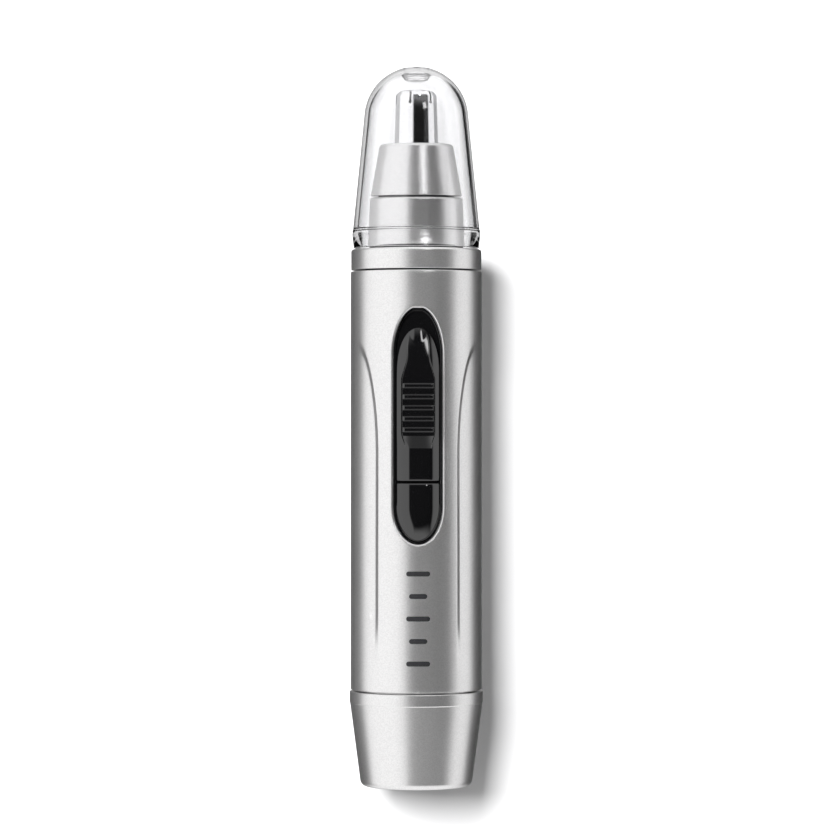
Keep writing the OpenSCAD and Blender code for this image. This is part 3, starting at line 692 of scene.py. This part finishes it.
# %% Turn the lock ring and the battery cap
RING_IN = 9.72
FOOT_R, TAPER_TOP, BAND_FROM = 10.73, 16.1, 16.25    # the tapered foot and the plain band above it
SLEEVE_R, SLEEVE_IN, SLEEVE_TOP = 11.2, 9.9, 24
GROOVE_R, GROOVE_LOW, GROOVE_TOP = 10.4, 20.6, 21.8
HOLLOW_R, FLOOR_R, FLOOR_Z = 11.3, 9.5, 1.5          # the space round the spring

# the ring's inner wall is bare black plastic, which also serves as painted shade
turned("lock_ring_band",
       [(RING_IN, ring_z0, 0.1), (ring_r, ring_z0, SEAM_FILLET), (ring_r, ring_z1, 0.55),
        (RING_IN, ring_z1, 0.15)],
       silver, "lock_ring", ["lock_ring"], segments=192, bare_shade_r=10.2)
turned("battery_cap_shell",
       [(0, 0), (FOOT_R, 0, 1.25), (band_r - 0.1, TAPER_TOP, 0.1), (band_r, BAND_FROM, 0.08),
        (band_r, casing_z0 - 0.3, SEAM_FILLET), (SLEEVE_R, casing_z0 - 0.3, 0.05),
        (SLEEVE_R, GROOVE_LOW, 0.08), (GROOVE_R, GROOVE_LOW, 0.08), (GROOVE_R, GROOVE_TOP, 0.08),
        (SLEEVE_R, GROOVE_TOP, 0.08), (SLEEVE_R, SLEEVE_TOP, 0.3), (SLEEVE_IN, SLEEVE_TOP, 0.15),
        (SLEEVE_IN, 15.4, 0.5), (HOLLOW_R, 14.2, 1.0), (9.8, 3, 0.8), (FLOOR_R, FLOOR_Z, 0.3),
        (0, FLOOR_Z)],
       silver, "battery_cap", ["battery_cap"], closed=False, segments=192)

# %% [markdown]
# ## Casing
# The casing is a tube with a window for the switch and a shallow grip panel on each side, whose edge
# rises straight from near the base and curls back over the side. A boolean would leave long thin faces
# that spoil the shine, so the tube is woven as a grid: its columns follow the window's edge, and the
# panel is a smooth step in the radius, worked out from the distance to the panel's edge.

# %% Lay out the window and the grip panels
WINDOW_X, WINDOW_Z0, WINDOW_Z1 = window_x + 0.08, window_low - 0.08, window_high + 0.08
WINDOW_FOOT, WINDOW_HEAD, HEAD_FLAT = 7.2, 8.9, 0.2     # heights of the two rounded ends
RIM_R = 0.38                                            # roll of the casing's edge into the window
PANEL_X, PANEL_Z, PANEL_RISE, PANEL_DEPTH = 7.55, 64.0, 23.0, 0.74
STEP_WIDTH, STEP_EVEN = 1.5, 0.55          # width, and the share of it that slopes evenly


def window_edge(stage, inset=0.0):
    """Half width and height of the window's outline; stage runs from 0 at its foot to 3 at its head."""
    foot_z, head_z = WINDOW_Z0 + WINDOW_FOOT, WINDOW_Z1 - WINDOW_HEAD
    if stage < 1:
        turn = math.radians(90 * (stage - 1))
        return (WINDOW_X - inset) * math.cos(turn), foot_z + (WINDOW_FOOT - inset) * math.sin(turn)
    if stage < 2:
        return WINDOW_X - inset, foot_z + (head_z - foot_z) * (stage - 1)
    last = math.asin(WINDOW_HEAD / (WINDOW_HEAD + HEAD_FLAT))
    turn = last * (stage - 2)
    return ((WINDOW_X - inset) * math.cos(turn),
            head_z + (WINDOW_HEAD + HEAD_FLAT - inset) * math.sin(turn))


def smooth(t):
    t = max(0.0, min(1.0, t))
    return t * t * (3 - 2 * t)


def casing_radius(angle, z):
    """Radius of the casing's skin at an angle from the front, with the grip panel's step."""
    x = body_r * abs(math.sin(angle))
    across = (body_r - x) / (body_r - PANEL_X)
    above = max(0.0, z - PANEL_Z) / PANEL_RISE
    norm = max(1e-6, math.hypot(across, above))
    lean = math.hypot(abs(math.cos(angle)) * across / norm / (body_r - PANEL_X), above / norm / PANEL_RISE)
    inside = (1 - norm) / max(lean, 1e-4)
    t = max(0.0, min(1.0, inside / STEP_WIDTH))
    step = (2 * t - max(0.0, t - STEP_EVEN) ** 2 / (1 - STEP_EVEN)) / (1 + STEP_EVEN)
    low_fade = 0.72 * smooth((z - 22.5) / 12) + 0.28 * smooth((z - 34) / 38)
    high_fade = 1 - smooth((z - 82.0) / 5.0)
    towards_side = min(1.0, abs(math.cos(angle)) / math.cos(math.asin(PANEL_X / body_r)))
    return body_r - PANEL_DEPTH * step * low_fade * high_fade * towards_side


# %% [markdown]
# The casing is woven from rows and columns of points whose density follows the panel's step and the
# window. A boolean could cut the window, but it would leave no clean edge to roll, so the rows stop at
# the window's outline and a few more rings roll from there into the opening.

# %% Weave the casing
FRONT_DEG, REAR_DEG = 34.0, 146.0
FRONT_COLUMNS, REAR_COLUMNS = 14, 7


def side_angles():
    """Fixed columns between the front and the rear strips, closer together at the panel's edges."""
    angles, angle = [], FRONT_DEG
    while angle < REAR_DEG - 1e-6:
        angles.append(angle)
        near_edge = 35 <= angle < 42.5 or 137.5 <= angle < 145
        angle += 0.5 if near_edge else 1.25
    return angles + [REAR_DEG]


def column_angles(first):
    """All columns of one half, from an angle at the front round to the middle of the back."""
    front = [first + (FRONT_DEG - first) * k / FRONT_COLUMNS for k in range(FRONT_COLUMNS)]
    rear = [REAR_DEG + (180 - REAR_DEG) * (k + 1) / REAR_COLUMNS for k in range(REAR_COLUMNS)]
    return [math.radians(a) for a in front + side_angles() + rear]


stages = [s / 14 for s in range(14)] + [1 + s / 84 for s in range(84)] + [2 + s / 18 for s in range(19)]
window_rows = [window_edge(s, -RIM_R) for s in stages]
foot, head = window_rows[0][1], window_rows[-1][1]
low_rows = [casing_z0, casing_z0 + 0.03, casing_z0 + 0.09, casing_z0 + 0.16]
low_rows += [casing_z0 + 0.16 + (foot - casing_z0 - 0.16) * k / 30 for k in range(1, 30)]
high_rows = [head + (casing_z1 - 0.16 - head) * k / 9 for k in range(1, 10)]
high_rows += [casing_z1 - 0.09, casing_z1 - 0.03, casing_z1]
edge_drop = {casing_z0: 0.16, casing_z0 + 0.03: 0.08, casing_z0 + 0.09: 0.02,
             casing_z1 - 0.09: 0.02, casing_z1 - 0.03: 0.08, casing_z1: 0.16}
rows = [(0.0, z) for z in low_rows] + window_rows + [(0.0, z) for z in high_rows]
window_first, window_last = len(low_rows), len(low_rows) + len(window_rows) - 1
CASING_WALL = 1.3
inner_r = body_r - CASING_WALL

points, faces = [], []


def point(radius, angle, z):
    points.append((radius * math.sin(angle), -radius * math.cos(angle), z))
    return len(points) - 1


skins = []                                # outer and inner skin: rows of columns for each half
for inner in (False, True):
    halves = {1: [], -1: []}
    for x, z in rows:
        first = math.degrees(math.asin(min(1.0, x / body_r)))
        angles = column_angles(first)
        for side in (1, -1):
            line = []
            for k, angle in enumerate(angles):
                on_seam = side < 0 and ((k == 0 and first == 0) or k == len(angles) - 1)
                if on_seam:
                    line.append(halves[1][len(halves[-1])][k])
                    continue
                radius = inner_r if inner else casing_radius(angle, z) - edge_drop.get(z, 0)
                line.append(point(radius, side * angle, z))
            halves[side].append(line)
    for side in (1, -1):
        for low, high in zip(halves[side], halves[side][1:]):
            for k in range(len(low) - 1):
                corners = [low[k], low[k + 1], high[k + 1], high[k]]
                faces.append([v for n, v in enumerate(corners) if v not in corners[:n]])
    top = halves[1][window_last][0], halves[-1][window_last][0]
    faces.append([top[0], halves[1][window_last + 1][0], top[1]])
    skins.append(halves)
for row in (0, -1):                       # the two end faces join outer and inner skin
    for side in (1, -1):
        outer, inner = skins[0][side][row], skins[1][side][row]
        for k in range(len(outer) - 1):
            faces.append([outer[k], outer[k + 1], inner[k + 1], inner[k]])
loop = [(s, 1) for s in range(len(stages))]           # up the right side, then down the left
loop += [(s, -1) for s in range(len(stages) - 1, 0, -1)]
edge_rings = [[skins[0][side][window_first + s][0] for s, side in loop]]
for step in (0.25, 0.5, 0.75, 1.0, 1.4):  # the rolled edge, and a little of the wall below it
    roll = math.radians(90 * min(step, 1))
    inset = -RIM_R * (1 - math.sin(roll))
    drop = RIM_R * (1 - math.cos(roll)) + max(0, step - 1) * 1.2
    ring = []
    for s, side in loop:
        x, z = window_edge(stages[s], inset)
        ring.append(point(body_r - drop, side * math.asin(x / body_r), z))
    edge_rings.append(ring)
edge_rings.append([skins[1][side][window_first + s][0] for s, side in loop])
for low, high in zip(edge_rings, edge_rings[1:]):
    for k in range(len(low)):
        after = (k + 1) % len(low)
        face = [low[k], low[after], high[after], high[k]]
        faces.append([v for n, v in enumerate(face) if v not in face[:n]])
casing = make_piece("body_casing_shell", points, faces, silver, "casing", ["body_casing"],
                    sharp=50)
# painted shade: the window's walls and the inside are black plastic, so they look dark
bare_plastic_shade(casing, body_r - PANEL_DEPTH - 0.2)

# %% [markdown]
# ## Switch
# The switch is two black mouldings. The bezel fills the window: a narrow flat rim, a sunken bed and a
# fixed pad at the foot. The slider runs on the bed: a pillow with a flat middle that bends over into
# sloping flanks, so that its centre stays dark and its flanks pick up the side panels.
# On it stands a thumb grip with five ribs. The mesh's columns follow the grip's edge, to keep it crisp.

# %% Define the pillow mesh
BED_Y, RIM_Y, RIM_WIDTH = 10.6, 11.25, 0.58
CREST_Y, BEND_FROM, BEND_OVER, FLANK_SLOPE = 13.0, 0.9, 2.9, 0.9
WALL = ((0.0, 1.0), (0.05, 0.93), (0.19, 0.07), (0.24, 0.0))     # offset and share of height


def sag(reach):
    """Drop of the pillow below its crest: flat at first, then bending over to an even slope."""
    t = max(0.0, min(1.0, (reach - BEND_FROM) / BEND_OVER))
    return FLANK_SLOPE * (BEND_OVER * (t**3 - t**4 / 2) + max(0.0, reach - BEND_FROM - BEND_OVER))


def columns(half, grip):
    """Positions across a row: flank, grip wall, grip top, grip wall and flank, as (x, part, share)."""
    wall = min(WALL[-1][0], 0.1 * half)
    grip = min(grip, 0.8 * half - wall)
    right = [(grip * math.sin(math.radians(90 * k / 12)), "top", 1.0) for k in range(1, 13)]
    right += [(grip + wall * offset / WALL[-1][0], "wall", share) for offset, share in WALL[1:]]
    edge = right[-1][0]
    right += [(edge + (half - edge) * k / 12, "flank", 0.0) for k in range(1, 13)]
    return [(-x, part, share) for x, part, share in reversed(right)] + [(0.0, "top", 1.0)] + right, grip


def pillow_piece(name, rows, pillow, grip_of, rise_of, body, nodes):
    """A closed piece over rows of (half width, z), flat at the back."""
    points, faces, grids = [], [], []
    for back in (False, True):
        grid = []
        for half, z in rows:
            across, grip = columns(max(half, 0.02), grip_of(z))
            line = []
            for x, part, share in across:
                low = pillow(x, z)
                level = low
                if part != "flank":
                    level += share * rise_of(max(-grip, min(grip, x)), z, grip, low)
                points.append((x, -(BED_Y + 0.05) if back else -level, z))
                line.append(len(points) - 1)
            grid.append(line)
        grids.append(grid)
        for low, high in zip(grid, grid[1:]):
            faces += [[low[k], low[k + 1], high[k + 1], high[k]] for k in range(len(low) - 1)]
    top, under = grids
    for column in (0, -1):
        side, below = [r[column] for r in top], [r[column] for r in under]
        faces += [[side[k], side[k + 1], below[k + 1], below[k]] for k in range(len(side) - 1)]
    for row in (0, -1):
        side, below = top[row], under[row]
        faces += [[side[k], side[k + 1], below[k + 1], below[k]] for k in range(len(side) - 1)]
    return make_piece(name, points, faces, black, body, nodes, 60)


# %% [markdown]
# The slider is one pillow. Its grip rises from a foot, runs level under the ribs, then narrows and
# sinks back towards the tip. The rows of points crowd together at each rib's two edges.

# %% Make the slider
SLIDER_X, SLIDER_ARCH, ARCH_PULL = 4.1, 8.0, 0.4
GRIP_Y, GRIP_FOOT, GRIP_FULL, GRIP_BEND, GRIP_TIP, GRIP_FALL = 13.6, 65.55, 68.0, 79.0, 88.3, 1.5
GRIP_X, NECK_X, GRIP_CROWN = 3.12, 1.95, 0.058
RIB_Z0, RIB_PITCH, RIB_RISE, RIBS = 69.15, 2.1, 0.25, 5

arch_z = slider_z1 - SLIDER_ARCH


def slider_pillow(x, z):
    reach = math.hypot(x, ARCH_PULL * max(0.0, z - arch_z))
    level = CREST_Y - sag(reach)
    return level - 0.12 * smooth(1 - (z - slider_z0) / 0.15)


def grip_half(z):
    narrow = smooth((z - 77.9) / 5.6)
    foot = smooth((69.0 - z) / 3.4)
    tip = smooth((z - 84.6) / 5.0)
    return GRIP_X - (GRIP_X - NECK_X) * narrow - 0.75 * foot - 0.6 * tip


def grip_rise(x, z, grip, low):
    """How far the grip stands above the pillow at a place."""
    rise = max(0.0, min(1.0, (z - GRIP_FOOT) / (GRIP_FULL - GRIP_FOOT)))
    fall = max(0.0, z - GRIP_BEND) / (GRIP_TIP - GRIP_BEND)
    level = rise * max(0.0, GRIP_Y - GRIP_FALL * fall**2.2 - GRIP_CROWN * fall * x * x - low)
    for i in range(RIBS):
        ridge = 1 - smooth((abs(z - RIB_Z0 - RIB_PITCH * i) - 0.3) / 0.17)
        level += RIB_RISE * ridge * smooth((grip - 0.08 - abs(x)) / 0.22)
    return level


heights = [slider_z0 + d for d in (0, 0.03, 0.08, 0.15)]
heights += [slider_z0 + 0.15 + (GRIP_FOOT - slider_z0 - 0.15) * k / 12 for k in range(1, 12)]
heights += [GRIP_FOOT - 0.02, GRIP_FOOT, GRIP_FOOT + 0.06]
heights += [GRIP_FOOT + 0.06 + (GRIP_FULL - GRIP_FOOT - 0.12) * k / 6 for k in range(1, 7)] + [GRIP_FULL]
rib_steps = (-0.52, -0.47, -0.43, -0.385, -0.34, -0.3, -0.15, 0, 0.15, 0.3, 0.34, 0.385, 0.43, 0.47, 0.52)
heights += [RIB_Z0 + RIB_PITCH * i + d for i in range(RIBS) for d in rib_steps]
heights += [78.15 + (arch_z - 78.15) * k / 8 for k in range(1, 9)]
slider_rows = [(SLIDER_X, z) for z in heights]
for k in range(1, 41):
    turn = math.radians(90 * k / 40)
    slider_rows.append((SLIDER_X * math.cos(turn), arch_z + SLIDER_ARCH * math.sin(turn)))
pillow_piece("switch_slider_cap", slider_rows, slider_pillow, grip_half, grip_rise, "switch",
             ["switch_slider"])

# %% [markdown]
# The bezel is a lofted frame: rings of the window's outline, each at its own inset and height, closed by
# the back and the bed. The pad repeats the slider's pillow, cut to the round foot of the window.

# %% Make the bezel and its pad
PAD_TOP, PAD_PULL = 58.85, 0.55

points, faces = [], []


def ring_at(inset, y):
    """One closed ring of the bezel, at an inset from the window's outline."""
    first = len(points)
    for s, side in loop:
        x, z = window_edge(stages[s], inset)
        points.append((side * x, -y, z))
    return list(range(first, len(points)))


profile = [(0.08, 10.35), (0.08, RIM_Y - 0.12), (0.12, RIM_Y - 0.03), (0.2, RIM_Y), (RIM_WIDTH - 0.1, RIM_Y),
           (RIM_WIDTH - 0.03, RIM_Y - 0.03), (RIM_WIDTH, RIM_Y - 0.12), (RIM_WIDTH, BED_Y)]
rings = [ring_at(inset, y) for inset, y in profile]
for low, high in zip(rings, rings[1:]):
    for k in range(len(low)):
        after = (k + 1) % len(low)
        faces.append([low[k], low[after], high[after], high[k]])
for ring in (rings[0], rings[-1]):        # the back, and the bed
    for s in range(len(stages) - 1):
        left_low = ring[0] if s == 0 else ring[len(loop) - s]
        left_high = ring[len(loop) - s - 1]
        face = [left_low, ring[s], ring[s + 1], left_high]
        faces.append([v for n, v in enumerate(face) if v not in face[:n]])
make_piece("switch_bezel_frame", points, faces, black, "casing", ["switch_bezel"], sharp=60)

pad_rows = [window_edge(k / 40, RIM_WIDTH + 0.03) for k in range(41)]
foot_z = pad_rows[-1][1]
pad_rows += [(SLIDER_X, foot_z + (PAD_TOP - 0.15 - foot_z) * k / 8) for k in range(1, 9)]
pad_rows += [(SLIDER_X, PAD_TOP - d) for d in (0.08, 0.03, 0)]


def pad_pillow(x, z):
    reach = math.hypot(x, PAD_PULL * max(0.0, foot_z - z))
    return CREST_Y - sag(reach) - 0.12 * smooth(1 - (PAD_TOP - z) / 0.15)


pillow_piece("switch_pad", pad_rows, pad_pillow, lambda z: 2.0, lambda *place: 0.0, "casing", ())

# %% [markdown]
# ## Cell and springs
# The AA cell shows when the battery cap comes off. Its can is turned, and its printed jacket is a thin
# sleeve with plain bands of colour worked out from height. The springs are curves with a round section,
# because a curve keeps a coil smooth with very few points.

# %% Print the jacket and turn the cell
jacket, tree, shader = new_material("printed jacket", Metallic=0.35, Coat_Weight=0.6)
shader.inputs["Coat Roughness"].default_value = 0.08
place = add(tree, "ShaderNodeTexCoord").outputs["Object"]
height = add(tree, "ShaderNodeSeparateXYZ", Vector=place).outputs["Z"]
share = add(tree, "ShaderNodeMapRange", Value=height, From_Min=jacket_z0 * MM, From_Max=jacket_z1 * MM)
bands = add(tree, "ShaderNodeValToRGB", Fac=share.outputs[0])
ramp = bands.color_ramp
ramp.interpolation = "CONSTANT"
ramp.elements[0].position, ramp.elements[0].color = 0.0, (0.02, 0.02, 0.022, 1)
ramp.elements[1].position, ramp.elements[1].color = 0.74, (0.62, 0.36, 0.09, 1)
stripe = ramp.elements.new(0.7)
stripe.color = (0.75, 0.74, 0.72, 1)
tree.links.new(bands.outputs["Color"], shader.inputs["Base Color"])
gloss = effect(tree, marks, Scale=150.0, Gloss=0.22, Change=0.1)["Roughness"]
tree.links.new(gloss, shader.inputs["Roughness"])
set_bump(tree, shader, effect(tree, grain, Scale=900.0)["Height"], 0.000004, 0.4)

can_r = cell_r - 0.17
shoulder_z = cell_z1 - 1.15               # the button stands on this
turned("aa_cell_can",
       [(0, cell_z0), (can_r - 1.6, cell_z0, 0.3), (can_r - 1.2, cell_z0 + 0.35, 0.2),
        (can_r, cell_z0 + 0.2, 0.25), (can_r, shoulder_z, 0.4), (3.1, shoulder_z, 0.1),
        (2.75, shoulder_z + 0.25, 0.1), (2.7, cell_z1, 0.3), (0, cell_z1)],
       finishes["nickel plate"], "cell", ["aa_cell"], closed=False, segments=128)
turned("cell_jacket_sleeve",
       [(cell_r - 0.15, jacket_z0, 0.02), (cell_r, jacket_z0, 0.08), (cell_r, jacket_z1, 0.08),
        (cell_r - 0.15, jacket_z1, 0.02)],
       jacket, "cell", ["cell_jacket"], segments=128)

# %% [markdown]
# A spring is a wire wound on a helix, with its end turns closed as on a real compression spring. A Screw
# modifier could wind it, but its pitch is constant, so the helix is a curve with a round bevel.

# %% Wind the springs


def wind(name, radii, heights, turns, wire, body, node):
    """A coil spring from its lowest to its highest point, as a curve with a round section."""
    curve = bpy.data.curves.new(name, "CURVE")
    curve.dimensions = "3D"
    curve.bevel_depth = wire * MM
    curve.bevel_resolution = 4
    curve.use_fill_caps = True
    steps = turns * 32
    line = curve.splines.new("POLY")
    line.points.add(steps)
    for i in range(steps + 1):
        t = i / steps
        level = min(max((t * turns - 0.75) / (turns - 1.5), 0), 1)      # closed end coils
        radius = radii[0] + (radii[1] - radii[0]) * t
        z = heights[0] + wire + (heights[1] - heights[0] - 2 * wire) * level
        angle = 2 * math.pi * turns * t
        line.points[i].co = (radius * math.cos(angle) * MM, radius * math.sin(angle) * MM, z * MM, 1)
    line.use_smooth = True
    spring = bpy.data.objects.new(name, curve)
    bpy.context.scene.collection.objects.link(spring)
    curve.materials.append(finishes["spring wire"])
    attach(spring, body)
    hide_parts(node)
    return spring


wind("battery_spring_coil", (3.9, 2.6), (1.9, cell_z0 - 0.02), 5, 0.4, "battery_cap", "battery_spring")
wind("blade_spring_coil", (2.6, 2.6), (112.25, 121.95), 7, 0.25, "blade", "blade_spring")

# %% [markdown]
# ## Printed mark
# The front of the casing carries a small black print. It is a plain column of short level bars of no
# meaning, each a thin film wrapped on the casing, with rounded ends.

# %% Print the mark
MARK_TOP, MARK_PITCH, MARK_H, MARK_LIFT = 41.6, 4.3, 0.95, 0.012
MARK_WIDTHS = [2.3, 1.75, 2.3, 1.75, 2.3]

ink, tree, shader = new_material("black ink", IOR=1.5)
specks = effect(tree, grain, Scale=4000.0)["Height"]
tone = between(tree, specks, 0.3, 0.7, 0.8, 1.2)
tree.links.new(tinted(tree, (0.012, 0.012, 0.013), tone), shader.inputs["Base Color"])
gloss = effect(tree, marks, Scale=300.0, Gloss=0.35, Change=0.1)["Roughness"]
tree.links.new(gloss, shader.inputs["Roughness"])
set_bump(tree, shader, specks, 0.000004)
points, faces = [], []
for i, half in enumerate(MARK_WIDTHS):
    z = MARK_TOP - MARK_PITCH * i
    slices = []
    for k in range(-20, 21):
        x = half * math.sin(math.radians(90 * k / 20))
        end = max(0.0, abs(x) - (half - MARK_H / 2))
        tall = math.sqrt(max(0.0, (MARK_H / 2) ** 2 - end**2))
        angle = x / body_r
        pair = []
        for lift in (MARK_LIFT, -0.05):
            for dz in (-tall, tall):
                pair.append(point(body_r + lift, angle, z + dz))
        slices.append(pair)
    for (a, b, c, d), (e, f, g, h) in zip(slices, slices[1:]):
        faces += [[a, e, f, b], [c, d, h, g], [a, c, g, e], [b, f, h, d]]
make_piece("printed_mark", points, faces, ink, "casing")
